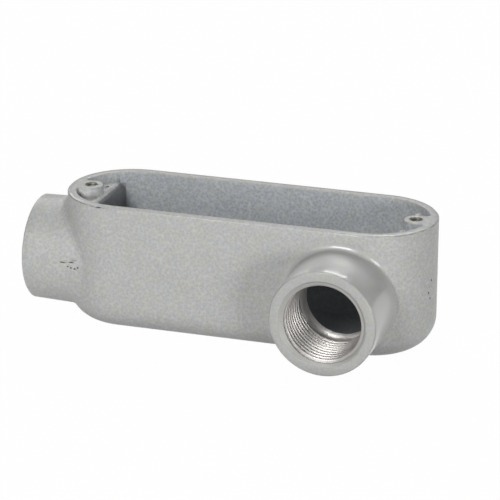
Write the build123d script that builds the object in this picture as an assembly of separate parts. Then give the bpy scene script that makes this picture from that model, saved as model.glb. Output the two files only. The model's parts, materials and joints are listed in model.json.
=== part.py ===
from build123d import *
import math
import os

os.makedirs("parts", exist_ok=True)

# Right-hand elbow conduit body for 3/4 inch rigid conduit, one aluminium casting.
# Frame: the flat back lies on Z = 0 and is centred on the origin, the open side faces +Z,
# the run hub points to -X and the side hub to -Y. All sizes in millimetres.

# Trough of the body
BODY_LENGTH = 119.4
BODY_WIDTH = 40.0
BACK_ROUND = 9.9
WALL = 2.8
FLOOR = 3.0
RIM_CHAMFER = 0.5

# Bore of a hub, the same at the run and at the side, from its mouth inwards:
# lead-in chamfer, thread, step down to a plain throat, bevelled inner lip
THREAD_DIAMETER = 26.5
THREAD_DEPTH = 18.0
LEAD_IN_WIDTH = 0.5
LEAD_IN_DEPTH = 0.8
THROAT_STEP = 1.75
THROAT_LENGTH = 3.5
LIP_CHAMFER = 0.4

# Outside of a hub, and its gaps to the back and to the rim of the trough
HUB_WALL = 3.4
HUB_DRAFT = 1.7
HUB_EDGE_CHAMFER = 0.5
HUB_BACK_GAP = 2.6
HUB_RIM_GAP = 5.9
SIDE_HUB_INSET = 25.1
RUN_HUB_FILLET = 4.0
SIDE_HUB_FILLET = 2.6
SIDE_HUB_RELIEF = 0.45

# Inside of the chamber: the block round the run bore and the pad round the side bore
BLOCK_LENGTH = 12.1
BLOCK_CORNER_ROUND = 1.5
LEDGE_DROP = 3.4
LEDGE_CHAMFER = 1.4
PAD_THICKNESS = 1.85
PAD_MARGIN = 3.6

# Lugs for the two cover screws
SCREW_DIAMETER = 4.0
SCREW_DEPTH = 6.5
SCREW_CHAMFER = 0.25
LUG_WALL = 1.9
LUG_INSET = 6.6
LUG_CORNER_ROUND = 1.0
LUG_EDGE_CHAMFER = 0.4

# How far a cutter reaches past the face that it opens
OVERCUT = 1.0

# Radii and lengths of a hub that follow from its bore
thread_radius = THREAD_DIAMETER / 2
throat_radius = thread_radius - THROAT_STEP
lip_radius = throat_radius + LIP_CHAMFER
hub_radius = thread_radius + HUB_WALL
hub_depth = THREAD_DEPTH + THROAT_STEP + THROAT_LENGTH

# Heights above the back
hub_axis_z = HUB_BACK_GAP + hub_radius
rim_z = hub_axis_z + hub_radius + HUB_RIM_GAP
ledge_z = rim_z - LEDGE_DROP

# Places along and across the trough
block_face_x = BLOCK_LENGTH - BODY_LENGTH / 2
run_mouth_x = block_face_x - hub_depth
side_hub_x = BODY_LENGTH / 2 - SIDE_HUB_INSET
side_mouth_y = WALL + PAD_THICKNESS - BODY_WIDTH / 2 - hub_depth
lug_x = BODY_LENGTH / 2 - LUG_INSET
lug_radius = SCREW_DIAMETER / 2 + LUG_WALL

# Each hub is drawn along its own axis, mouth at zero and outward positive
run_axis = Plane((run_mouth_x, 0, hub_axis_z), x_dir=(0, 1, 0), z_dir=(-1, 0, 0))
side_axis = Plane((side_hub_x, side_mouth_y, hub_axis_z), x_dir=(1, 0, 0), z_dir=(0, -1, 0))


def hub_blank(depth, relief=0.0):
    """Drafted round hub with a broken outer edge at its mouth, thinner by a relief."""
    mouth_radius = hub_radius - relief
    root_radius = mouth_radius + depth * math.tan(math.radians(HUB_DRAFT))
    with BuildPart() as hub:
        with BuildSketch(Plane.XZ):
            Polygon((0, 0), (mouth_radius, 0), (root_radius, -depth), (0, -depth))
        revolve(axis=Axis.Z)
        chamfer(hub.edges().group_by(Axis.Z)[-1], HUB_EDGE_CHAMFER)
    return hub.part


def hub_bore():
    """Space inside a hub, from its mouth into the wiring chamber."""
    with BuildPart() as bore:
        with BuildSketch(Plane.XZ):
            Polygon(
                (0, OVERCUT),
                (thread_radius + LEAD_IN_WIDTH, OVERCUT),
                (thread_radius + LEAD_IN_WIDTH, 0),
                (thread_radius, -LEAD_IN_DEPTH),
                (thread_radius, -THREAD_DEPTH),
                (throat_radius, -THREAD_DEPTH - THROAT_STEP),
                (throat_radius, LIP_CHAMFER - hub_depth),
                (lip_radius, -hub_depth),
                (lip_radius, -hub_depth - OVERCUT),
                (0, -hub_depth - OVERCUT),
            )
        revolve(axis=Axis.Z)
    return bore.part


def screw_hole():
    """Blind hole for a cover screw, mouth at zero, with a drill point and a broken edge."""
    radius = SCREW_DIAMETER / 2
    with BuildPart() as hole:
        with BuildSketch(Plane.XZ):
            Polygon(
                (0, OVERCUT),
                (radius + SCREW_CHAMFER + OVERCUT, OVERCUT),
                (radius, -SCREW_CHAMFER),
                (radius, -SCREW_DEPTH),
                (0, -SCREW_DEPTH - radius * math.tan(math.radians(31))),
            )
        revolve(axis=Axis.Z)
    return hole.part


# Wiring chamber drawn as a solid: what is hollow between the walls
with BuildPart() as chamber:
    with BuildSketch(Plane.XY.offset(FLOOR)):
        SlotOverall(BODY_LENGTH - 2 * WALL, BODY_WIDTH - 2 * WALL)
    extrude(amount=rim_z - FLOOR)
    fillet(chamber.faces().sort_by(Axis.Z)[0].edges(), BACK_ROUND - WALL)

    # The run bore runs on through a block with a flat face and a ledge on top
    with BuildSketch(Plane.XZ) as block:
        Polygon(
            (-BODY_LENGTH, 0),
            (block_face_x, 0),
            (block_face_x, ledge_z),
            (-BODY_LENGTH, ledge_z),
        )
        chamfer(block.vertices().sort_by_distance((block_face_x, ledge_z))[0], LEDGE_CHAMFER)
    extrude(amount=BODY_WIDTH, both=True, mode=Mode.SUBTRACT)
    block_face = chamber.faces().filter_by(Axis.X)[0]
    fillet(block_face.edges().sort_by(Axis.Z)[:-1], BLOCK_CORNER_ROUND)

    # A lug at each end stands on the ledge or on the floor and joins the end wall
    with BuildSketch(Plane.XY.offset(rim_z)):
        with Locations((lug_x, 0), (-lug_x, 0)):
            Circle(lug_radius)
        with Locations((lug_x + LUG_INSET / 2, 0), (-lug_x - LUG_INSET / 2, 0)):
            Rectangle(LUG_INSET, 2 * lug_radius)
    extrude(amount=-rim_z, mode=Mode.SUBTRACT)
    lug_corners = chamber.edges(Select.NEW).filter_by(Axis.Z)
    fillet(lug_corners.filter_by(lambda edge: abs(edge.center().X) > lug_x), LUG_CORNER_ROUND)

    # A flat pad gives the side bore its full length
    with BuildSketch(side_axis):
        Circle(lip_radius + PAD_MARGIN)
    extrude(amount=-hub_depth, mode=Mode.SUBTRACT)

with BuildPart() as conduit_body:
    # Long trough with round ends and a fully rounded back
    with BuildSketch():
        SlotOverall(BODY_LENGTH, BODY_WIDTH)
    extrude(amount=rim_z)
    fillet(conduit_body.faces().sort_by(Axis.Z)[0].edges(), BACK_ROUND)

    # Run hub, with a soft blend where it meets the round end
    add(run_axis.location * hub_blank(hub_depth - BLOCK_LENGTH + BODY_WIDTH / 2))
    fillet(conduit_body.edges(Select.NEW), min(RUN_HUB_FILLET, 0.7 * HUB_RIM_GAP))

    # Side hub: its blend is made on a thinner hub, so that it ends in a crease at the real one
    add(side_axis.location * hub_blank(-side_mouth_y, SIDE_HUB_RELIEF))
    fillet(conduit_body.edges(Select.NEW), min(SIDE_HUB_FILLET, HUB_BACK_GAP))
    add(side_axis.location * hub_blank(-side_mouth_y))

    # Hollow, its flat rim with a broken edge outside and inside
    add(chamber.part, mode=Mode.SUBTRACT)
    rim = conduit_body.faces().sort_by(Axis.Z)[-1]
    chamfer(rim.outer_wire().edges(), RIM_CHAMFER)
    rim = conduit_body.faces().sort_by(Axis.Z)[-1]
    chamfer(rim.inner_wires()[0].edges(), LUG_EDGE_CHAMFER)

    # Bores and screw holes
    add(run_axis.location * hub_bore(), mode=Mode.SUBTRACT)
    add(side_axis.location * hub_bore(), mode=Mode.SUBTRACT)
    with Locations((lug_x, 0, rim_z), (-lug_x, 0, rim_z)):
        add(screw_hole(), mode=Mode.SUBTRACT)

export_step(conduit_body.part, "parts/conduit_body.step")
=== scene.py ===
"""Looks of the conduit body: painted casting, cut threads, casting marks and the studio."""

import json
import math
from types import SimpleNamespace

import bmesh
import bpy
from bpy.props import FloatProperty, FloatVectorProperty, IntProperty, PointerProperty
from mathutils import Matrix, Quaternion, Vector


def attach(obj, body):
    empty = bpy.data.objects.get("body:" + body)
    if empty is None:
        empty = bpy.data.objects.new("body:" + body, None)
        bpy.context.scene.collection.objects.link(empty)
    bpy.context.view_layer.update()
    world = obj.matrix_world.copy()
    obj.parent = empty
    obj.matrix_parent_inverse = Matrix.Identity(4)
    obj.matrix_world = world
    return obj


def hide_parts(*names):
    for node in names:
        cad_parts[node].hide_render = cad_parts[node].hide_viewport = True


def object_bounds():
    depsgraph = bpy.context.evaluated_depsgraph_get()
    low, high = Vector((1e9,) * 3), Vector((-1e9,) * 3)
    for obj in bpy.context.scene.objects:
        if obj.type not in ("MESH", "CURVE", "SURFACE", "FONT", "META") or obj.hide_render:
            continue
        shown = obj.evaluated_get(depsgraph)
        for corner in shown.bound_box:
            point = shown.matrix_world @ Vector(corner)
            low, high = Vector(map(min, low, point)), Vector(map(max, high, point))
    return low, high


bl_info = {
    "name": "Conduit body",
    "version": (1, 0, 0),
    "blender": (4, 5, 0),
    "location": "View3D > Sidebar > Conduit body",
    "description": "Dresses a cast elbow conduit body with hammered paint and cut threads",
    "category": "Object",
}

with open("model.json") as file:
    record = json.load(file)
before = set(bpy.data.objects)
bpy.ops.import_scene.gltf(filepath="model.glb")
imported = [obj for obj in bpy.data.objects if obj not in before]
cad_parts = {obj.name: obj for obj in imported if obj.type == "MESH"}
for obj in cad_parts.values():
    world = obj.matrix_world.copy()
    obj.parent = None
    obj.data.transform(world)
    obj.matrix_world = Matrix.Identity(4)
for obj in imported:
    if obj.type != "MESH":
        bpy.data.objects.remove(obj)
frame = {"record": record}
cad_low, cad_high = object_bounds()
mounts = {mount["name"]: mount for mount in frame["record"]["mounts"]}

MM = 0.001
INCH = 25.4 * MM
BODY = "root"
NODE = "conduit_body"

# Places on the casting, read from the frame
RUN_MOUTH_X = cad_low.x
SIDE_MOUTH_Y = cad_low.y
SIDE_HUB_X = mounts["side_hub_thread"]["pos_m"][0]
HUB_Z = mounts["side_hub_thread"]["pos_m"][2]
BORE_RADIUS = mounts["side_hub_thread"]["dims"]["r_mm"] * MM
RIM_Z = cad_high.z
HALF_WIDTH = cad_high.y
HALF_LENGTH = cad_high.x
SCREW_X = mounts["cover_screws"]["dims"]["spacing_x_mm"] * MM / 2
SCREW_RADIUS = mounts["cover_screws"]["dims"]["hole_r_mm"] * MM
END_CENTRE_X = HALF_LENGTH - HALF_WIDTH

# Sizes of the casting that the frame doesn't hold
WALL_MIDDLE = HALF_WIDTH - 1.4 * MM
BACK_ROUND = 9.9 * MM
LEDGE_Z = RIM_Z - 3.4 * MM
LEDGE_END_X = -HALF_LENGTH + 12.5 * MM

# Each hub: its name, the axis of its bore (0 for x, 1 for y) and the middle of its mouth
HUBS = (
    ("run_hub", 0, (RUN_MOUTH_X, 0.0, HUB_Z)),
    ("side_hub", 1, (SIDE_HUB_X, SIDE_MOUTH_Y, HUB_Z)),
)

# A conduit thread's radius shrinks by this share of its depth
TAPER = 1 / 32


class Value:
    """A number or vector in a node tree; sums written on it become Math nodes."""

    def __init__(self, net, socket):
        self.net = net
        self.socket = socket

    def math(self, operation, *others, first=None):
        """A Math node on this value and others; first stands in for this value."""
        operands = [first if first is not None else self, *others]
        return self.net.node("ShaderNodeMath", {"operation": operation}, *operands)

    def __add__(self, other):
        return self.math("ADD", other)

    def __radd__(self, other):
        return self.math("ADD", self, first=other)

    def __sub__(self, other):
        return self.math("SUBTRACT", other)

    def __rsub__(self, other):
        return self.math("SUBTRACT", self, first=other)

    def __mul__(self, other):
        return self.math("MULTIPLY", other)

    def __rmul__(self, other):
        return self.math("MULTIPLY", self, first=other)

    def __truediv__(self, other):
        return self.math("DIVIDE", other)

    def max(self, other):
        return self.math("MAXIMUM", other)

    def min(self, other):
        return self.math("MINIMUM", other)

    def abs(self):
        return self.math("ABSOLUTE")

    def fract(self):
        return self.math("FRACT")

    def round(self):
        return self.math("ROUND")

    def round_up(self):
        return self.math("CEIL")

    def cos(self):
        return self.math("COSINE")

    def sin(self):
        return self.math("SINE")

    def root(self):
        return self.math("SQRT")

    def above(self, other):
        return self.math("GREATER_THAN", other)

    def ramp(self, start, end, low=0.0, high=1.0):
        """low up to start, high from end on, and a soft change in between."""
        settings = {"interpolation_type": "SMOOTHSTEP", "clamp": True}
        sockets = {"From Min": start, "From Max": end, "To Min": low, "To Max": high}
        return self.net.node("ShaderNodeMapRange", settings, Value=self, **sockets)


class Net:
    """Adds nodes to one tree."""

    def __init__(self, tree):
        self.tree = tree

    def plug(self, socket, given):
        """Gives a socket a link or, from a plain number or colour, its value."""
        if isinstance(given, Value):
            self.tree.links.new(given.socket, socket)
        elif isinstance(given, bpy.types.NodeSocket):
            self.tree.links.new(given, socket)
        else:
            socket.default_value = given

    def add(self, kind, settings, *places, **sockets):
        """Makes a node: its settings first, then sockets by place or by name."""
        made = self.tree.nodes.new(kind)
        for name, value in settings.items():
            setattr(made, name, value)
        for socket, given in zip(made.inputs, places):
            self.plug(socket, given)
        for name, given in sockets.items():
            self.plug(made.inputs[name], given)
        return made

    def node(self, kind, settings, *places, **sockets):
        """Makes a node and gives its first output as a value."""
        return Value(self, self.add(kind, settings, *places, **sockets).outputs[0])

    def split(self, vector):
        """The x, y and z of a vector."""
        outputs = self.add("ShaderNodeSeparateXYZ", {}, vector).outputs
        return [Value(self, outputs[i]) for i in range(3)]

    def join(self, x, y, z):
        """The vector with these parts."""
        return self.node("ShaderNodeCombineXYZ", {}, x, y, z)

    def length(self, first, second):
        """Distance over two parts at a right angle."""
        return (first * first + second * second).root()

    def mix(self, share, first, second):
        """A colour between two colours."""
        made = self.add("ShaderNodeMix", {"data_type": "RGBA"})
        for place, given in ((0, share), (6, first), (7, second)):
            self.plug(made.inputs[place], given)
        return Value(self, made.outputs[2])


# Materials


def new_material(name):
    """An empty material; gives the material and its net."""
    material = bpy.data.materials.new(name)
    material.use_nodes = True
    material.node_tree.nodes.clear()
    return material, Net(material.node_tree)


def place_on_piece(net):
    """The point on the piece, in metres."""
    coordinates = net.add("ShaderNodeTexCoord", {})
    return Value(net, coordinates.outputs["Object"])


def noise(net, place, size, detail=2.0, roughness=0.5):
    """Cloudy pattern from 0 to 1 whose lumps are about size metres across."""
    sockets = {"Scale": 1 / size, "Detail": detail, "Roughness": roughness}
    return net.node("ShaderNodeTexNoise", {}, Vector=place, **sockets)


def cells(net, place, size):
    """Soft round cells about size metres across, 0 at their middles."""
    sockets = {"Scale": 1 / size, "Smoothness": 0.7}
    return net.node("ShaderNodeTexVoronoi", {"feature": "SMOOTH_F1"}, Vector=place, **sockets)


def end_material(net, colour, roughness, bump, **others):
    """Ends a material with its shader, which takes others by the names of its sockets."""
    sockets = {"Base Color": colour, "Roughness": roughness, "Normal": bump, **others}
    shader = net.add("ShaderNodeBsdfPrincipled", {}, **sockets)
    net.add("ShaderNodeOutputMaterial", {}, shader.outputs[0])


# Where the paint, its painted shade and its painted light change: each pair is where a change
# starts and where it is complete
INNER_WALL = (WALL_MIDDLE + 0.6 * MM, WALL_MIDDLE - 0.6 * MM)
OUTER_WALL = (HALF_WIDTH - 0.5 * MM, HALF_WIDTH - 0.1 * MM)
UNDER_RIM_Z = (RIM_Z - 0.2 * MM, RIM_Z - 1.2 * MM)
INSIDE_BACK = (BACK_ROUND - 1.0 * MM, BACK_ROUND - 1.8 * MM)
# Painted shade deep in the chamber: full below the first height, gone above the second
DEEP_SHADE_Z = (12 * MM, 27 * MM)
# Painted shade low on the outside
LOW_SHADE_Z = (7 * MM, 2.5 * MM)
RIM_GLOSS_Z = (RIM_Z - 0.7 * MM, RIM_Z - 0.4 * MM)
HUB_ROOT_Y = (-HALF_WIDTH - 0.2 * MM, -HALF_WIDTH - 1.0 * MM)
HUB_FRONT_Y = (SIDE_MOUTH_Y + 1.6 * MM, SIDE_MOUTH_Y + 0.6 * MM)
RING_EDGE = (20.5 * MM, 18.0 * MM)
RING_Y = (-HALF_WIDTH + 3 * MM, -HALF_WIDTH)
# Painted shade in the crease round the side hub's root
CREASE_INNER = (16.8 * MM, 17.8 * MM)
CREASE_OUTER = (20.4 * MM, 19.2 * MM)
CREASE_Y = (-HALF_WIDTH - 4 * MM, -HALF_WIDTH - 2 * MM)
# Painted light on the ledge and on the sides of its lug
LIT_LEDGE_Z = (LEDGE_Z - 0.5 * MM, LEDGE_Z - 0.1 * MM)
LIT_LEDGE_WALL = (WALL_MIDDLE - 1.6 * MM, WALL_MIDDLE - 2.0 * MM)
LIT_LUG_Z = (LEDGE_Z + 0.2 * MM, LEDGE_Z + 0.7 * MM)
# Painted shade under the ledge at the run end
UNDER_LEDGE_SHADE_Z = (LEDGE_Z - 0.1 * MM, LEDGE_Z - 0.6 * MM)
FAR_END_X = (END_CENTRE_X + 9 * MM, END_CENTRE_X + 13 * MM)
RUN_END_X = (-END_CENTRE_X + 2 * MM, -END_CENTRE_X - 6 * MM)
# A painted shadow line just under the rim
RIM_SHADOW_Z = RIM_Z - 0.42 * MM
RIM_SHADOW_EDGE = (0.2 * MM, 0.05 * MM)

# How far each change goes, from 0 to 1; all but the ring's smoothness and the front's wear are
# painted shade, and the lug's share is painted light
DEEP_SHADE_SHARE = 0.7
RING_SMOOTHNESS = 0.75
FRONT_WEAR = 0.5
LIT_LUG_SHARE = 0.9
UNDER_LEDGE_SHADE_SHARE = 0.45
CREASE_SHADE_SHARE = 0.14
LOW_SHADE_SHARE = 0.18
FRONT_SHADE_SHARE = 0.1
RIM_SHADOW_SHARE = 0.55

# Tones that the changes lead to, all painted shade: in the crease and low on the outside, on the
# side hub's front face, and as a line under the rim
PAINTED_SHADE_TONE = (0.12, 0.13, 0.15, 1.0)
FRONT_SHADE_TONE = (0.11, 0.11, 0.07, 1.0)
RIM_SHADOW_TONE = (0.09, 0.09, 0.095, 1.0)

# The paint's patterns: sizes, then how much each one shows in the height and in the tone
GRAIN_PER_LUMP = 0.4
PATCH_SIZE = 2.6 * MM
CLOUD_SIZE = 9 * MM
LINE_BREAK_SIZE = 4 * MM
LUMP_HEIGHT, GRAIN_HEIGHT = 0.8, 0.45
LUMP_TONE, GRAIN_TONE, CLOUD_TONE = 0.55, 0.68, 0.14
LUMP_MEAN = 0.45
PATCH_EDGE = (0.35, 0.65)
LINE_BREAK_EDGE = (0.32, 0.5)
LUMPS_LOST_ON_HUB = 0.85
HEIGHT_GAIN_INSIDE, TONE_GAIN_INSIDE = 0.9, 0.1

# The paint's gloss
PAINT_METALLIC = 0.1
PAINT_ROUGHNESS, HUB_SHEEN, GRAIN_ROUGHNESS = 0.58, 0.2, 0.12
COAT_LEAST, COAT_GAIN, COAT_ROUGHNESS = 0.08, 0.5, 0.12


def paint_masks(net, place):
    """Where on the casting a point lies, as shares from 0 to 1."""
    x, y, z = net.split(place)
    # Distances from the middle line of the trough, seen from above, and from the side hub's axis
    from_middle = net.length((x.abs() - END_CENTRE_X).max(0.0), y)
    from_side_hub = net.length(x - SIDE_HUB_X, z - HUB_Z)

    # The back is outside: it rises towards the walls as their rounding does
    past_flat = (from_middle - HALF_WIDTH + BACK_ROUND).max(0.0)
    from_round_centre = net.length(past_flat, (BACK_ROUND - z).max(0.0))
    chamber = from_middle.ramp(*INNER_WALL)
    inside = chamber * z.ramp(*UNDER_RIM_Z) * from_round_centre.ramp(*INSIDE_BACK)

    # The side hub and the ring where it meets the trough were blasted smooth
    outside_trough = y.ramp(*HUB_ROOT_Y)
    ring = from_side_hub.ramp(*RING_EDGE, 0.0, RING_SMOOTHNESS) * y.ramp(*RING_Y)
    hub_front = y.ramp(*HUB_FRONT_Y)
    smooth_hub = outside_trough.max(ring) * (1 - FRONT_WEAR * hub_front)
    # Painted shade in the crease round the side hub's root
    crease = from_side_hub.ramp(*CREASE_INNER) * from_side_hub.ramp(*CREASE_OUTER)
    crease = crease * outside_trough * y.ramp(*CREASE_Y)
    # Painted shade low on the outside, towards the floor
    low_shade = z.ramp(*LOW_SHADE_Z) * (1 - inside)

    # Painted light: the ledge and the lug's sides at the run end get a lighter paint, so that they
    # read as lit though the rim shades them
    block = 1 - x.above(LEDGE_END_X)
    ledge = z.ramp(*LIT_LEDGE_Z) * block * from_middle.ramp(*LIT_LEDGE_WALL)

    # A painted shadow line just under the rim, clearest at the round ends
    rim_line = (z - RIM_SHADOW_Z).abs().ramp(*RIM_SHADOW_EDGE)
    at_ends = x.ramp(*FAR_END_X).max(x.ramp(*RUN_END_X))
    return SimpleNamespace(
        inside=inside,
        # Painted shade, darker towards the chamber's floor
        thin=z.ramp(*DEEP_SHADE_Z, DEEP_SHADE_SHARE, 0.0),
        # Painted light on the ledge, a little less on the lug's sides
        ledge=ledge * z.ramp(*LIT_LUG_Z, 1.0, LIT_LUG_SHARE),
        # Painted shade under the ledge
        under_ledge=block * z.ramp(*UNDER_LEDGE_SHADE_Z),
        smooth_hub=smooth_hub,
        hub_front=hub_front,
        glossy_rim=z.ramp(*RIM_GLOSS_Z) * (1 - chamber),
        # Painted shade in the crease and low on the outside
        dust=(crease * CREASE_SHADE_SHARE).max(low_shade * LOW_SHADE_SHARE),
        # A painted shadow line under the rim, at the round ends
        rim_line=rim_line * at_ends * from_middle.ramp(*OUTER_WALL),
    )


def hammered_paint(look):
    """Grey baked paint with hammered lumps, smooth on the side hub and darker in the chamber;
    painted shade deepens the chamber and the creases, and painted light brightens the ledge.
    """
    material, net = new_material("hammered_paint")
    place = place_on_piece(net)
    at = paint_masks(net, place)

    lumps = cells(net, place, look.lump_size)
    grain_size = GRAIN_PER_LUMP * look.lump_size
    grain = noise(net, place, grain_size, detail=3.0, roughness=0.6)
    clouds = noise(net, place, CLOUD_SIZE)
    hammered = 1 - LUMPS_LOST_ON_HUB * at.smooth_hub
    relief = lumps * LUMP_HEIGHT + grain * GRAIN_HEIGHT
    relief = relief * hammered * (1 + HEIGHT_GAIN_INSIDE * at.inside)
    shade = (lumps - LUMP_MEAN) * LUMP_TONE + (grain - 0.5) * GRAIN_TONE
    shade = shade * hammered * (1 + TONE_GAIN_INSIDE * at.inside)
    shade = shade + (clouds - 0.5) * CLOUD_TONE + 0.5

    outer = net.mix(shade, look.paint_dark, look.paint_light)
    inner = net.mix(shade, look.chamber_dark, look.chamber_light)
    # Painted shade: darker towards the chamber's floor and under the ledge
    inner = net.mix(at.thin, inner, look.chamber_floor)
    inner = net.mix(at.under_ledge * UNDER_LEDGE_SHADE_SHARE, inner, look.chamber_floor)
    # Painted light: a lighter paint on the ledge and the lug's sides
    inner = net.mix(at.ledge, inner, net.mix(shade, look.ledge_dark, look.ledge_light))
    colour = net.mix(at.inside, outer, inner)
    # Painted shade in the crease round the side hub and low on the outside
    colour = net.mix(at.dust, colour, PAINTED_SHADE_TONE)
    # Painted shade on the side hub's front face
    colour = net.mix(at.hub_front * FRONT_SHADE_SHARE, colour, FRONT_SHADE_TONE)
    patches = noise(net, place, PATCH_SIZE, detail=1.0).ramp(*PATCH_EDGE)
    tint = net.mix(patches, look.cool_tint, look.warm_tint)
    colour = net.node("ShaderNodeVectorMath", {"operation": "MULTIPLY"}, colour, tint)
    # A painted shadow line under the rim, broken in places
    broken = noise(net, place, LINE_BREAK_SIZE, detail=1.0).ramp(*LINE_BREAK_EDGE)
    colour = net.mix(at.rim_line * broken * RIM_SHADOW_SHARE, colour, RIM_SHADOW_TONE)

    bump = net.node("ShaderNodeBump", {}, Strength=1.0, Distance=look.lump_depth, Height=relief)
    roughness = PAINT_ROUGHNESS - HUB_SHEEN * at.smooth_hub + (grain - 0.5) * GRAIN_ROUGHNESS
    coat = COAT_LEAST + COAT_GAIN * at.smooth_hub.max(at.glossy_rim)
    gloss = {"Coat Weight": coat, "Coat Roughness": COAT_ROUGHNESS}
    end_material(net, colour, roughness, bump, Metallic=PAINT_METALLIC, **gloss)
    return material


# Painted shade in a hub's bore, by its depth from its mouth, and the paint on the lead-in
GROOVES_START = (1.2 * MM, 2.2 * MM)
RECESS_START, RECESS_END = (16.4 * MM, 16.8 * MM), (17.97 * MM, 17.9 * MM)
STEP_START, STEP_END = (17.8 * MM, 17.9 * MM), (19.6 * MM, 18.6 * MM)
LEAD_IN = (1.35 * MM, 1.0 * MM)
GROOVE_SHARE, RECESS_SHARE, STEP_SHARE, MIST_SHARE = 0.68, 0.92, 0.6, 0.85
# In a groove, the painted shade starts this far above the root and is full this much deeper
GROOVE_SHADE_START, GROOVE_SHADE_HEIGHT = 0.75 * MM, 0.7 * MM
# The lower part of the recess catches light: heights over the axis, and the shade that stays
RECESS_LIGHT_Z, RECESS_LEAST_SHADE = (-9 * MM, 1 * MM), 0.15
# Tone of the painted shade, as a share of the metal's dark tone
SHADE_PER_DARK = 0.15
MIST_TONE = (0.40, 0.40, 0.385, 1.0)

# The turned metal: its patterns and its gloss
TOOL_MARK_SIZE, TOOL_MARK_DEPTH = 0.12 * MM, 0.03 * MM
SMEAR_SIZE = 2.2 * MM
TOOL_MARK_TONE, SMEAR_TONE = 0.5, 0.6
METALLIC, METALLIC_LOSS = 0.7, 0.6
METAL_ROUGHNESS, SMEAR_ROUGHNESS, MIST_ROUGHNESS = 0.43, 0.16, 0.12


def bore_shadow(depth, around, height):
    """Painted shade in the thread's grooves, in the recess behind the thread and on the step past
    it.
    """
    in_groove = around - (BORE_RADIUS - GROOVE_SHADE_START - depth * TAPER)
    grooves = in_groove.ramp(0.0, GROOVE_SHADE_HEIGHT) * depth.ramp(*GROOVES_START)
    recess = depth.ramp(*RECESS_START) * depth.ramp(*RECESS_END)
    step = depth.ramp(*STEP_START) * depth.ramp(*STEP_END)
    unlit = height.ramp(*RECESS_LIGHT_Z, RECESS_LEAST_SHADE, 1.0)
    behind = (recess * RECESS_SHARE).max(step * STEP_SHARE) * unlit
    return (grooves * GROOVE_SHARE).max(behind)


def machined_metal(name, axis, mouth, tones, in_hub=False):
    """Bare aluminium turned about an axis, with fine tool marks round it; made once a name."""
    if name in bpy.data.materials:
        return bpy.data.materials[name]
    material, net = new_material(name)
    place = place_on_piece(net)
    parts = net.split(place)
    across = [part - start for part, start in zip(parts, mouth)]
    depth = across.pop(axis)
    around = net.length(*across)

    turned = net.join(parts[axis], around, 0.0)
    rings = noise(net, turned, TOOL_MARK_SIZE, roughness=0.7)
    smears = noise(net, place, SMEAR_SIZE, detail=3.0, roughness=0.6) - 0.5
    shade = (rings - 0.5) * TOOL_MARK_TONE + smears * SMEAR_TONE + 0.5
    dark, light = tones
    colour = net.mix(shade, dark, light)
    metallic, roughness = METALLIC, METAL_ROUGHNESS + smears * SMEAR_ROUGHNESS
    # In a hub's bore: painted shade in the grooves, the recess and the step, and paint on the
    # lead-in
    if in_hub:
        shade_tone = [SHADE_PER_DARK * part for part in dark[:3]] + [1.0]
        colour = net.mix(bore_shadow(depth, around, across[1]), colour, shade_tone)
        mist = depth.ramp(*LEAD_IN, 0.0, MIST_SHARE)
        colour = net.mix(mist, colour, MIST_TONE)
        metallic = metallic - METALLIC_LOSS * mist
        roughness = roughness + MIST_ROUGHNESS * mist
    sockets = {"Distance": TOOL_MARK_DEPTH, "Height": rings}
    bump = net.node("ShaderNodeBump", {}, Strength=0.5, **sockets)
    end_material(net, colour, roughness, bump, Metallic=metallic)
    return material


def bore_metal(look, hub, axis, mouth):
    """The metal of a hub's bore and of its thread."""
    tones = (look.metal_dark, look.metal_light)
    return machined_metal(hub + "_metal", axis, mouth, tones, in_hub=True)


# The dark tone in the knocks: its grain, the grain's part in its tone and its roughness
KNOCK_GRAIN, KNOCK_DEPTH = 0.3 * MM, 0.05 * MM
KNOCK_TONE_EDGE = (0.4, 0.75)
KNOCK_ROUGHNESS, KNOCK_ROUGHNESS_GAIN = 0.5, 0.3


def darkened_knocks(look):
    """A dark tone in the knocks, which on the ledge's pit is painted shade on one side."""
    material, net = new_material("darkened_knocks")
    grain = noise(net, place_on_piece(net), KNOCK_GRAIN, detail=3.0, roughness=0.6)
    colour = net.mix(grain.ramp(*KNOCK_TONE_EDGE), look.chip_dark, look.paint_dark)
    bump = net.node("ShaderNodeBump", {}, Strength=0.8, Distance=KNOCK_DEPTH, Height=grain)
    roughness = KNOCK_ROUGHNESS + (grain - 0.5) * KNOCK_ROUGHNESS_GAIN
    end_material(net, colour, roughness, bump)
    return material


# Meshes

# Points of a mesh that are closer than this are one
SAME_POINT = 0.001 * MM
SAME_THREAD_POINT = 0.0005 * MM
PEBBLE_STEPS = 3
# A turn rises between these shares of the way from the middle of a groove to a crest
FLANK = (0.12, 0.86)


def show(mesh, name, *materials):
    """Puts a finished mesh in the scene as a piece of the casting."""
    mesh.name = name
    piece = bpy.data.objects.new(name, mesh)
    bpy.context.scene.collection.objects.link(piece)
    mesh.materials.clear()
    for material in materials:
        mesh.materials.append(material)
    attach(piece, BODY)
    return piece


def final_mesh(thing, name):
    """The mesh that an object gives with its modifiers; the object goes."""
    bpy.context.view_layer.update()
    depsgraph = bpy.context.evaluated_depsgraph_get()
    evaluated = thing.evaluated_get(depsgraph)
    mesh = bpy.data.meshes.new_from_object(evaluated, depsgraph=depsgraph)
    mesh.name = name
    remove(thing)
    return mesh


def remove(thing):
    """Takes an object and its mesh away."""
    mesh = thing.data
    bpy.data.objects.remove(thing)
    bpy.data.meshes.remove(mesh)


def merged_node(node):
    """A closed copy of a CAD node's mesh, whose triangles come loose."""
    mesh = node.data.copy()
    builder = bmesh.new()
    builder.from_mesh(mesh)
    bmesh.ops.remove_doubles(builder, verts=builder.verts, dist=SAME_POINT)
    bmesh.ops.dissolve_degenerate(builder, edges=builder.edges, dist=SAME_POINT)
    builder.to_mesh(mesh)
    builder.free()
    return mesh


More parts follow.
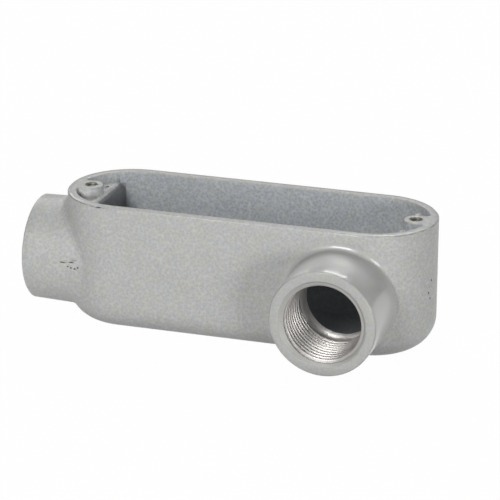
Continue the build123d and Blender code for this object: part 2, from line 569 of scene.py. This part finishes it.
def pebble(centre, size, turn):
    """A round closed pebble, used to add to the casting or to take from it."""
    builder = bmesh.new()
    bmesh.ops.create_icosphere(builder, subdivisions=PEBBLE_STEPS, radius=1.0)
    shape = Matrix.LocRotScale(Vector(centre), Quaternion((0, 0, 1), turn), Vector(size))
    bmesh.ops.transform(builder, matrix=shape, verts=builder.verts)
    mesh = bpy.data.meshes.new("pebble")
    builder.to_mesh(mesh)
    builder.free()
    return mesh


def pebbles(name, marks):
    """One object of closed pebbles; marks holds their centres and half sizes, in mm, and turns."""
    whole = bmesh.new()
    for centre, size, turn in marks:
        part = pebble(Vector(centre) * MM, Vector(size) * MM, turn)
        whole.from_mesh(part)
        bpy.data.meshes.remove(part)
    mesh = bpy.data.meshes.new(name)
    whole.to_mesh(mesh)
    whole.free()
    thing = bpy.data.objects.new(name, mesh)
    bpy.context.scene.collection.objects.link(thing)
    return thing


def boolean(thing, other, operation):
    """Adds another object's shape to an object, or takes it away, by a modifier."""
    modifier = thing.modifiers.new(operation.lower(), "BOOLEAN")
    modifier.object = other
    modifier.operation = operation
    modifier.solver = "EXACT"


def outward_faces(mesh):
    """Cleans a closed mesh and points its faces outwards."""
    builder = bmesh.new()
    builder.from_mesh(mesh)
    bmesh.ops.dissolve_degenerate(builder, edges=builder.edges, dist=SAME_THREAD_POINT)
    bmesh.ops.recalc_face_normals(builder, faces=builder.faces)
    builder.to_mesh(mesh)
    builder.free()


def thread_inputs(tree):
    """Names the inputs of the thread nodes and gives their tree a geometry to put out."""
    tree.interface.new_socket("Geometry", in_out="OUTPUT", socket_type="NodeSocketGeometry")
    sizes = (
        "Length",
        "Pitch",
        "Root Radius",
        "Crest Radius",
        "Least Radius",
        "Taper",
        "Mouth Radius",
        "Mouth Slope",
        "Outer Radius",
        "Outer Setback",
    )
    for size in sizes:
        tree.interface.new_socket(size, in_out="INPUT", socket_type="NodeSocketFloat")
    for count in ("Steps Around", "Steps Along Pitch"):
        tree.interface.new_socket(count, in_out="INPUT", socket_type="NodeSocketInt")
    tree.interface.new_socket("Metal", in_out="INPUT", socket_type="NodeSocketMaterial")


def thread_tree(name):
    """Nodes that cut a thread: a closed sleeve, mouth at zero and depth along +Z."""
    tree = bpy.data.node_groups.new(name, "GeometryNodeTree")
    tree.is_modifier = True
    thread_inputs(tree)
    net = Net(tree)
    given = {s.name: Value(net, s) for s in net.add("NodeGroupInput", {}).outputs if s.name}
    length, pitch, steps = given["Length"], given["Pitch"], given["Steps Along Pitch"]

    # Rows follow the helix on the inside, then three rows go back outside to the mouth
    inner_rows = ((length / pitch + 1) * steps).round_up() + 1
    rows = inner_rows + 3
    counts = {"Vertices X": given["Steps Around"] + 1, "Vertices Y": rows}
    grid = net.add("GeometryNodeMeshGrid", {}, **{"Size X": 1.0, "Size Y": 1.0}, **counts)
    u, v, _ = net.split(net.node("GeometryNodeInputPosition", {}))
    turn = u + 0.5
    row = ((v + 0.5) * (rows - 1)).round()

    helix = row * pitch / steps + pitch * (turn - 1)
    depth = helix.max(0.0).min(length)
    across = ((depth / pitch - turn).fract() * 2 - 1).abs()
    height = given["Crest Radius"] - given["Root Radius"]
    thread = given["Root Radius"] + height * across.ramp(*FLANK)
    lead_in = given["Mouth Radius"] - depth * given["Mouth Slope"]
    inner = (thread - depth * given["Taper"]).max(given["Least Radius"]).max(lead_in)

    # The last three rows: far end outside, near end outside, mouth again
    past_inner = row - inner_rows
    outside = past_inner.above(-0.5)
    near_end = past_inner.above(0.5)
    closing = past_inner.above(1.5)
    outer_depth = length * (1 - near_end) + given["Outer Setback"] * near_end
    outer_depth = outer_depth * (1 - closing)
    outer_radius = given["Outer Radius"] * (1 - closing) + given["Mouth Radius"] * closing
    depth = depth * (1 - outside) + outer_depth * outside
    radius = inner * (1 - outside) + outer_radius * outside

    angle = turn * (2 * math.pi)
    moved = net.join(radius * angle.cos(), radius * angle.sin(), depth)
    sleeve = net.node("GeometryNodeSetPosition", {}, Geometry=grid.outputs[0], Position=moved)
    merge = {"Geometry": sleeve, "Distance": SAME_THREAD_POINT}
    sleeve = net.node("GeometryNodeMergeByDistance", {}, **merge)
    sleeve = net.node("GeometryNodeSetShadeSmooth", {}, sleeve)
    sleeve = net.node("GeometryNodeRealizeInstances", {}, sleeve)
    sleeve = net.node("GeometryNodeSetMaterial", {}, Geometry=sleeve, Material=given["Metal"])
    net.add("NodeGroupOutput", {}, sleeve)
    return tree


def cut_thread(tree, name, mouth, inward, metal, sizes):
    """A sleeve of thread whose mouth is at a point and whose depth runs inward."""
    holder = bpy.data.objects.new(name + "_holder", bpy.data.meshes.new(name + "_holder"))
    bpy.context.scene.collection.objects.link(holder)
    modifier = holder.modifiers.new("thread", "NODES")
    modifier.node_group = tree
    for item in tree.interface.items_tree:
        if item.in_out == "INPUT":
            modifier[item.identifier] = metal if item.name == "Metal" else sizes[item.name]
    mesh = final_mesh(holder, name)
    turn = Vector((0, 0, 1)).rotation_difference(Vector(inward))
    mesh.transform(Matrix.LocRotScale(Vector(mouth), turn, None))
    outward_faces(mesh)
    return show(mesh, name, metal)


# Settings


class CastingLook(bpy.types.PropertyGroup):
    """Sizes and colours of the painted casting."""

    lump_size: FloatProperty(
        name="Lump size",
        description="Distance between the lumps of the hammered paint",
        default=0.85 * MM,
        unit="LENGTH",
    )
    lump_depth: FloatProperty(
        name="Lump depth",
        description="Height of the lumps of the hammered paint",
        default=0.05 * MM,
        unit="LENGTH",
    )
    paint_light: FloatVectorProperty(
        name="Paint, light",
        description="Lightest grey of the paint outside",
        default=(0.595, 0.595, 0.575, 1.0),
        size=4,
        subtype="COLOR",
    )
    paint_dark: FloatVectorProperty(
        name="Paint, dark",
        description="Darkest grey of the paint outside",
        default=(0.31, 0.315, 0.32, 1.0),
        size=4,
        subtype="COLOR",
    )
    chamber_light: FloatVectorProperty(
        name="Chamber, light",
        description="Lightest grey of the paint in the chamber",
        default=(0.60, 0.62, 0.64, 1.0),
        size=4,
        subtype="COLOR",
    )
    chamber_dark: FloatVectorProperty(
        name="Chamber, dark",
        description="Darkest grey of the paint in the chamber",
        default=(0.24, 0.26, 0.28, 1.0),
        size=4,
        subtype="COLOR",
    )
    # Painted shade: the near-black tone that darkens the chamber towards its floor and under the
    # ledge
    chamber_floor: FloatVectorProperty(
        name="Chamber floor",
        description="Dark casting skin under the thin paint deep in the chamber",
        default=(0.095, 0.095, 0.1, 1.0),
        size=4,
        subtype="COLOR",
    )
    # Painted light: lighter tones for the ledge and the lug's sides at the run end, which lie in
    # the rim's shade
    ledge_light: FloatVectorProperty(
        name="Ledge, light",
        description="Lightest grey of the thick paint on the ledge at the run end",
        default=(0.66, 0.66, 0.64, 1.0),
        size=4,
        subtype="COLOR",
    )
    ledge_dark: FloatVectorProperty(
        name="Ledge, dark",
        description="Darkest grey of the thick paint on the ledge at the run end",
        default=(0.39, 0.40, 0.40, 1.0),
        size=4,
        subtype="COLOR",
    )
    # A dark tone in the knocks; on the ledge's pit it is painted shade on one side
    chip_dark: FloatVectorProperty(
        name="Knocks",
        description="Dirt in the pits and scratches of the paint",
        default=(0.07, 0.07, 0.07, 1.0),
        size=4,
        subtype="COLOR",
    )
    screw_light: FloatVectorProperty(
        name="Screw holes, light",
        description="Lightest tone of the screw threads",
        default=(0.50, 0.50, 0.42, 1.0),
        size=4,
        subtype="COLOR",
    )
    screw_dark: FloatVectorProperty(
        name="Screw holes, dark",
        description="Darkest tone of the screw threads",
        default=(0.10, 0.10, 0.08, 1.0),
        size=4,
        subtype="COLOR",
    )
    warm_tint: FloatVectorProperty(
        name="Warm tint",
        description="Tint of the warmer patches of paint",
        default=(1.01, 1.0, 0.965, 1.0),
        size=4,
        subtype="COLOR",
    )
    cool_tint: FloatVectorProperty(
        name="Cool tint",
        description="Tint of the cooler patches of paint",
        default=(0.99, 1.0, 1.02, 1.0),
        size=4,
        subtype="COLOR",
    )
    metal_light: FloatVectorProperty(
        name="Bare metal, light",
        description="Lightest tone of the machined metal",
        default=(0.70, 0.67, 0.635, 1.0),
        size=4,
        subtype="COLOR",
    )
    metal_dark: FloatVectorProperty(
        name="Bare metal, dark",
        description="Darkest tone of the machined metal",
        default=(0.28, 0.275, 0.27, 1.0),
        size=4,
        subtype="COLOR",
    )


class ThreadSizes(bpy.types.PropertyGroup):
    """Sizes of the conduit threads in the hubs."""

    pitch: FloatProperty(
        name="Pitch",
        description="Distance from one turn to the next",
        default=INCH / 14,
        unit="LENGTH",
    )
    length: FloatProperty(
        name="Length",
        description="Depth of the thread from the mouth",
        default=16.8 * MM,
        unit="LENGTH",
    )
    height: FloatProperty(
        name="Height",
        description="Height of a turn from its root to its crest",
        default=1.42 * MM,
        unit="LENGTH",
    )
    mouth_slope: FloatProperty(
        name="Mouth slope",
        description="How steeply the lead-in narrows the mouth",
        default=1.4,
    )
    steps: IntProperty(
        name="Steps around",
        description="Number of steps round one turn",
        default=144,
    )


class StudioLook(bpy.types.PropertyGroup):
    """Camera and light."""

    lens: FloatProperty(
        name="Lens",
        description="Focal length of the camera",
        default=192.78,
        unit="CAMERA",
    )
    distance: FloatProperty(
        name="Distance",
        description="From the camera to the point it looks at",
        default=0.83334,
        unit="LENGTH",
    )
    azimuth: FloatProperty(
        name="Azimuth",
        description="Turn of the camera round the casting",
        default=math.radians(17.834),
        subtype="ANGLE",
    )
    elevation: FloatProperty(
        name="Elevation",
        description="Height of the camera above the floor, as an angle",
        default=math.radians(19.957),
        subtype="ANGLE",
    )
    roll: FloatProperty(
        name="Roll",
        description="Tilt of the camera about its own line of sight",
        default=math.radians(0.2015),
        subtype="ANGLE",
    )
    aim: FloatVectorProperty(
        name="Aim",
        description="Point that the camera looks at",
        default=(1.359 * MM, -4.982 * MM, 27.503 * MM),
        subtype="TRANSLATION",
    )
    key_power: FloatProperty(
        name="Key lamp",
        description="Power of the wide lamp in front",
        default=9.9,
        unit="POWER",
    )
    right_power: FloatProperty(
        name="Right lamp",
        description="Power of the low lamp on the right; the one behind it follows",
        default=5.8,
        unit="POWER",
    )
    left_power: FloatProperty(
        name="Left lamp",
        description="Power of the lamp behind on the left",
        default=3.5,
        unit="POWER",
    )
    back_power: FloatProperty(
        name="Back lamp",
        description="Power of the lamp high behind the casting",
        default=8.5,
        unit="POWER",
    )
    backdrop: FloatProperty(
        name="Backdrop",
        description="Brightness of the white backdrop behind the casting",
        default=0.06,
    )
    room: FloatProperty(
        name="Room",
        description="Brightness of the studio behind the camera",
        default=0.03,
    )
    ceiling: FloatProperty(
        name="Ceiling",
        description="Brightness of the dark ceiling",
        default=0.03,
    )


# Operators

# Numbers of the casting's materials, in the order that it holds them
PAINT, RUN_BORE, SIDE_BORE, KNOCK = range(4)
# A face is bare metal within this radius of a bore's axis, as far as these places
BORE_EDGE = BORE_RADIUS + 0.4 * MM
RUN_BORE_END_X = -HALF_LENGTH + 12 * MM
SIDE_BORE_END_Y = -HALF_WIDTH + 4.5 * MM
# Painted shade on one side of the ledge's pit: its place beside the pit's centre and its radius,
# in mm
PIT_SHADE_OFFSET, PIT_SHADE_RADIUS = (0.35, 0.5, -0.4), 0.6
KNOCK_MARGIN = 1.05
SHARP_ANGLE = math.radians(58)
# At its mouth a thread's roots lie this far behind the surface of the solid's bore
ROOT_COVER = 0.02 * MM


class BuildCasting(bpy.types.Operator):
    """Makes the painted casting with its casting marks"""

    bl_idname = "conduit.build_casting"
    bl_label = "Casting"

    def execute(self, context):
        look = context.scene.conduit_casting
        bores = [bore_metal(look, *hub) for hub in HUBS]
        finishes = (hammered_paint(look), *bores, darkened_knocks(look))

        body = bpy.data.objects.new("casting_blank", merged_node(bpy.data.objects[NODE]))
        context.scene.collection.objects.link(body)
        added = pebbles("raised_marks", raised_marks())
        taken = pebbles("sunk_marks", sunk_marks())
        boolean(body, added, "UNION")
        boolean(body, taken, "DIFFERENCE")
        mesh = final_mesh(body, "casting")
        remove(added)
        remove(taken)

        casting = show(mesh, "casting", *finishes)
        for face in mesh.polygons:
            face.use_smooth = True
            corners = [mesh.vertices[i].co for i in face.vertices]
            face.material_index = finish_of(corners, face.center)
        soften(casting)
        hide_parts(NODE)
        return {"FINISHED"}


def raised_marks():
    """Flash on the far lug and inside the near rim, and burrs beside the knocks."""
    rim = RIM_Z / MM
    return [
        ((52.4, 4.6, rim - 0.9), (1.15, 2.5, 0.9), 0.1),
        ((51.6, -11.7, rim - 0.9), (0.8, 2.6, 0.9), -0.1),
        ((-52.9, -17.1, 21.9), (0.36, 0.42, 0.34), 0.0),
        ((-55.7, -17.05, 20.75), (0.38, 0.4, 0.3), 0.0),
        ((59.2, -4.7, 21.9), (0.4, 0.4, 0.6), 0.0),
    ]


def sunk_marks():
    """A pit in the ledge, which comes first, a nick in the near rim, and knocks at both ends."""
    rim, ledge = RIM_Z / MM, LEDGE_Z / MM
    marks = [
        ((-51.2, 8.6, ledge), (0.8, 0.8, 0.8), 0.0),
        ((-43.6, -19.6, rim - 0.4), (1.1, 0.4, 0.25), 0.0),
        ((-56.7, -17.1, 20.85), (1.1, 0.4, 0.2), 0.0),
        ((-53.8, -17.15, 21.15), (0.9, 0.4, 0.22), 0.0),
    ]
    # A short row of pits low on the run hub's root
    root_y, root_pit = -17.25, (0.32, 0.5, 0.28)
    for x, z in ((-54.9, 19.7), (-53.8, 19.35), (-52.6, 19.15), (-51.5, 19.65)):
        marks.append(((x, root_y, z), root_pit, 0.0))
    # Pits one above the other on the far round end
    end_pit = (0.4, 0.3, 0.4)
    for y, z in ((-3.9, 24.0), (-5.5, 20.3), (-4.5, 18.3)):
        x = END_CENTRE_X / MM + math.sqrt((HALF_WIDTH / MM) ** 2 - y**2)
        marks.append(((x, y, z), end_pit, 0.0))
    return marks


def in_knock(corners):
    """Whether a face lies in one sunk mark; the ledge's pit takes the dark tone, as painted shade,
    on one side only.
    """
    ledge_pit, *knocks = sunk_marks()
    dark_side = Vector(ledge_pit[0]) + Vector(PIT_SHADE_OFFSET)
    for place, size, _ in [(dark_side, (PIT_SHADE_RADIUS,) * 3, 0.0), *knocks]:
        shares = []
        for corner in corners:
            offset = corner / MM - Vector(place)
            shares.append(math.hypot(*(offset[i] / size[i] for i in range(3))))
        if max(shares) < KNOCK_MARGIN:
            return True
    return False


def finish_of(corners, centre):
    """The material's number of a face: dirt in a knock, bare metal in a bore, or paint."""
    if in_knock(corners):
        return KNOCK
    from_run_hub = math.hypot(centre.y, centre.z - HUB_Z)
    if from_run_hub < BORE_EDGE and centre.x < RUN_BORE_END_X:
        return RUN_BORE
    from_side_hub = math.hypot(centre.x - SIDE_HUB_X, centre.z - HUB_Z)
    if from_side_hub < BORE_EDGE and centre.y < SIDE_BORE_END_Y:
        return SIDE_BORE
    return PAINT


def soften(piece):
    """Flat faces keep their shading and the narrow chamfers between them read as round."""
    piece.data.set_sharp_from_angle(angle=SHARP_ANGLE)
    modifier = piece.modifiers.new("soft_edges", "WEIGHTED_NORMAL")
    modifier.keep_sharp = True
    modifier.weight = 50


class CutThreads(bpy.types.Operator):
    """Cuts the conduit threads in both hubs and the screw threads in both lugs"""

    bl_idname = "conduit.cut_threads"
    bl_label = "Threads"

    def execute(self, context):
        look = context.scene.conduit_casting
        tree = thread_tree("thread_sleeve")
        sizes = conduit_sleeve(context.scene.conduit_thread)
        for hub, axis, mouth in HUBS:
            inward = [float(i == axis) for i in range(3)]
            metal = bore_metal(look, hub, axis, mouth)
            cut_thread(tree, hub + "_thread", mouth, inward, metal, sizes)

        tones = (look.screw_dark, look.screw_light)
        for end, x in (("run_end", -SCREW_X), ("far_end", SCREW_X)):
            mouth = (x, 0.0, RIM_Z)
            metal = machined_metal("screw_metal_" + end, 2, mouth, tones)
            cut_thread(tree, "screw_thread_" + end, mouth, (0, 0, -1), metal, screw_sleeve())
        return {"FINISHED"}


def conduit_sleeve(sizes):
    """Sizes of the sleeve that carries a hub's thread."""
    return {
        "Length": sizes.length,
        "Pitch": sizes.pitch,
        "Root Radius": BORE_RADIUS + ROOT_COVER,
        "Crest Radius": BORE_RADIUS - sizes.height,
        "Least Radius": BORE_RADIUS - 1.6 * MM,
        "Taper": TAPER,
        "Mouth Radius": BORE_RADIUS + 0.52 * MM,
        "Mouth Slope": sizes.mouth_slope,
        "Outer Radius": BORE_RADIUS + 1.0 * MM,
        "Outer Setback": 0.6 * MM,
        "Steps Around": sizes.steps,
        "Steps Along Pitch": 12,
    }


def screw_sleeve():
    """Sizes of the sleeve that carries the thread of a cover screw."""
    crest = SCREW_RADIUS - 0.35 * MM
    return {
        "Length": 5.5 * MM,
        "Pitch": INCH / 32,
        "Root Radius": SCREW_RADIUS + ROOT_COVER,
        "Crest Radius": crest,
        "Least Radius": crest,
        "Taper": 0.0,
        "Mouth Radius": SCREW_RADIUS + 0.05 * MM,
        "Mouth Slope": 1.0,
        "Outer Radius": SCREW_RADIUS + 0.4 * MM,
        "Outer Setback": 0.4 * MM,
        "Steps Around": 40,
        "Steps Along Pitch": 8,
    }


# The stage

WHITE = (1.0, 1.0, 1.0, 1.0)
LAMP_DISTANCE = 1.3
RIGHT_BACK_SHARE = 0.35
CAMERA_SENSOR = 36.0
CAMERA_NEAR = 0.01
# The floor, from its middle to its edge, and how far it lies under the casting
FLOOR_REACH = 6.0
FLOOR_DROP = 0.1 * MM
# What shows of the floor is white by this share; the rest is matt and keeps a faint shadow
FLOOR_WHITENESS = 0.985
FLOOR_MATT = (0.6, 0.6, 0.6, 1.0)
# Where the room turns into the backdrop and the ceiling: parts of a direction, from -1 to 1
BACKDROP_EDGE = (-0.3, 0.6)
CEILING_EDGE = (0.6, 0.8)


class SetStage(bpy.types.Operator):
    """Lays the floor and sets the lamps, the room and the camera"""

    bl_idname = "conduit.set_stage"
    bl_label = "Stage"

    def execute(self, context):
        studio = context.scene.conduit_studio
        lay_floor()
        light_room(context.scene, studio)
        hang_lamps(studio)
        set_camera(context.scene, studio)
        context.scene.view_settings.view_transform = "Standard"
        return {"FINISHED"}


def direction(azimuth, elevation):
    """Away from the casting; azimuth 0 is in front, positive to the right."""
    level = math.cos(elevation)
    return Vector((math.sin(azimuth) * level, -math.cos(azimuth) * level, math.sin(elevation)))


def face_point(thing, point, way, distance):
    """Sets a lamp or camera at a distance from a point, to look at it along a direction."""
    thing.location = Vector(point) + way * distance
    thing.rotation_mode = "QUATERNION"
    thing.rotation_quaternion = (-way).to_track_quat("-Z", "Y")


def set_camera(scene, studio):
    """Sets the camera where the photo was taken from."""
    data = bpy.data.cameras.new("camera")
    data.sensor_width = CAMERA_SENSOR
    data.lens = studio.lens
    data.clip_start = CAMERA_NEAR
    camera = bpy.data.objects.new("camera", data)
    scene.collection.objects.link(camera)
    face_point(camera, studio.aim, direction(studio.azimuth, studio.elevation), studio.distance)
    roll = Quaternion((0, 0, 1), studio.roll)
    camera.rotation_quaternion = camera.rotation_quaternion @ roll
    scene.camera = camera


def lamp(name, azimuth, elevation, size, power):
    """A square soft lamp that faces the casting, with its angles in degrees."""
    data = bpy.data.lights.new(name, "AREA")
    data.shape = "SQUARE"
    data.size = size
    data.energy = power
    thing = bpy.data.objects.new(name, data)
    bpy.context.scene.collection.objects.link(thing)
    way = direction(math.radians(azimuth), math.radians(elevation))
    face_point(thing, (0, 0, 0), way, LAMP_DISTANCE)


def hang_lamps(studio):
    """Two soft lamps in front of the casting and three behind it."""
    right_back_power = RIGHT_BACK_SHARE * studio.right_power
    lamp("key_lamp", azimuth=-13, elevation=31, size=0.4, power=studio.key_power)
    lamp("right_lamp", azimuth=45, elevation=8, size=0.3, power=studio.right_power)
    lamp("right_back_lamp", azimuth=120, elevation=5, size=0.2, power=right_back_power)
    lamp("left_back_lamp", azimuth=-135, elevation=30, size=0.5, power=studio.left_power)
    lamp("top_back_lamp", azimuth=180, elevation=52, size=0.6, power=studio.back_power)


def lay_floor():
    """A wide white floor that keeps a faint shadow."""
    builder = bmesh.new()
    bmesh.ops.create_grid(builder, x_segments=1, y_segments=1, size=FLOOR_REACH)
    mesh = bpy.data.meshes.new("floor")
    builder.to_mesh(mesh)
    builder.free()
    mesh.transform(Matrix.Translation((0, 0, -FLOOR_DROP)))
    material, net = new_material("floor_white")
    matt = net.add("ShaderNodeBsdfDiffuse", {}, FLOOR_MATT)
    glow = net.add("ShaderNodeEmission", {}, WHITE, 1.0)
    share = seen_directly(net) * FLOOR_WHITENESS
    mixed = net.add("ShaderNodeMixShader", {}, share, matt.outputs[0], glow.outputs[0])
    net.add("ShaderNodeOutputMaterial", {}, mixed.outputs[0])
    mesh.materials.append(material)
    floor = bpy.data.objects.new("floor", mesh)
    bpy.context.scene.collection.objects.link(floor)


def seen_directly(net):
    """1 where the camera sees a surface itself or in a mirror, 0 where it only lights."""
    path = net.add("ShaderNodeLightPath", {}).outputs
    kinds = ("Is Camera Ray", "Is Glossy Ray", "Is Transmission Ray")
    camera, glossy, through = [Value(net, path[kind]) for kind in kinds]
    return camera.max(glossy).max(through)


def light_room(scene, studio):
    """A dim room, a backdrop behind the casting and a ceiling, all white to the camera."""
    world = bpy.data.worlds.new("studio")
    world.use_nodes = True
    world.node_tree.nodes.clear()
    net = Net(world.node_tree)
    way = Value(net, net.add("ShaderNodeTexCoord", {}).outputs["Generated"])
    _, forward, up = net.split(way)
    wall = forward.ramp(*BACKDROP_EDGE, studio.room, studio.backdrop)
    ceiling = up.ramp(*CEILING_EDGE)
    brightness = wall * (1 - ceiling) + studio.ceiling * ceiling
    light = net.add("ShaderNodeBackground", {}, WHITE, brightness)
    white = net.add("ShaderNodeBackground", {}, WHITE, 1.0)
    seen = net.add("ShaderNodeLightPath", {}).outputs["Is Camera Ray"]
    mixed = net.add("ShaderNodeMixShader", {}, seen, light.outputs[0], white.outputs[0])
    net.add("ShaderNodeOutputWorld", {}, mixed.outputs[0])
    scene.world = world


class ConduitPanel(bpy.types.Panel):
    """Lists the pieces and their settings"""

    bl_idname = "VIEW3D_PT_conduit"
    bl_label = "Conduit body"
    bl_space_type = "VIEW_3D"
    bl_region_type = "UI"
    bl_category = "Conduit body"

    def draw(self, context):
        scene = context.scene
        for settings, operator in (
            (scene.conduit_casting, BuildCasting.bl_idname),
            (scene.conduit_thread, CutThreads.bl_idname),
            (scene.conduit_studio, SetStage.bl_idname),
        ):
            box = self.layout.box()
            for name in settings.__annotations__:
                box.prop(settings, name)
            box.operator(operator)


classes = (
    CastingLook,
    ThreadSizes,
    StudioLook,
    BuildCasting,
    CutThreads,
    SetStage,
    ConduitPanel,
)


def register():
    for kind in classes:
        bpy.utils.register_class(kind)
    bpy.types.Scene.conduit_casting = PointerProperty(type=CastingLook)
    bpy.types.Scene.conduit_thread = PointerProperty(type=ThreadSizes)
    bpy.types.Scene.conduit_studio = PointerProperty(type=StudioLook)


def unregister():
    del bpy.types.Scene.conduit_studio
    del bpy.types.Scene.conduit_thread
    del bpy.types.Scene.conduit_casting
    for kind in reversed(classes):
        bpy.utils.unregister_class(kind)


def main():
    """Makes every piece and the stage."""
    register()
    bpy.ops.conduit.build_casting()
    bpy.ops.conduit.cut_threads()
    bpy.ops.conduit.set_stage()


if __name__ == "__main__":
    main()
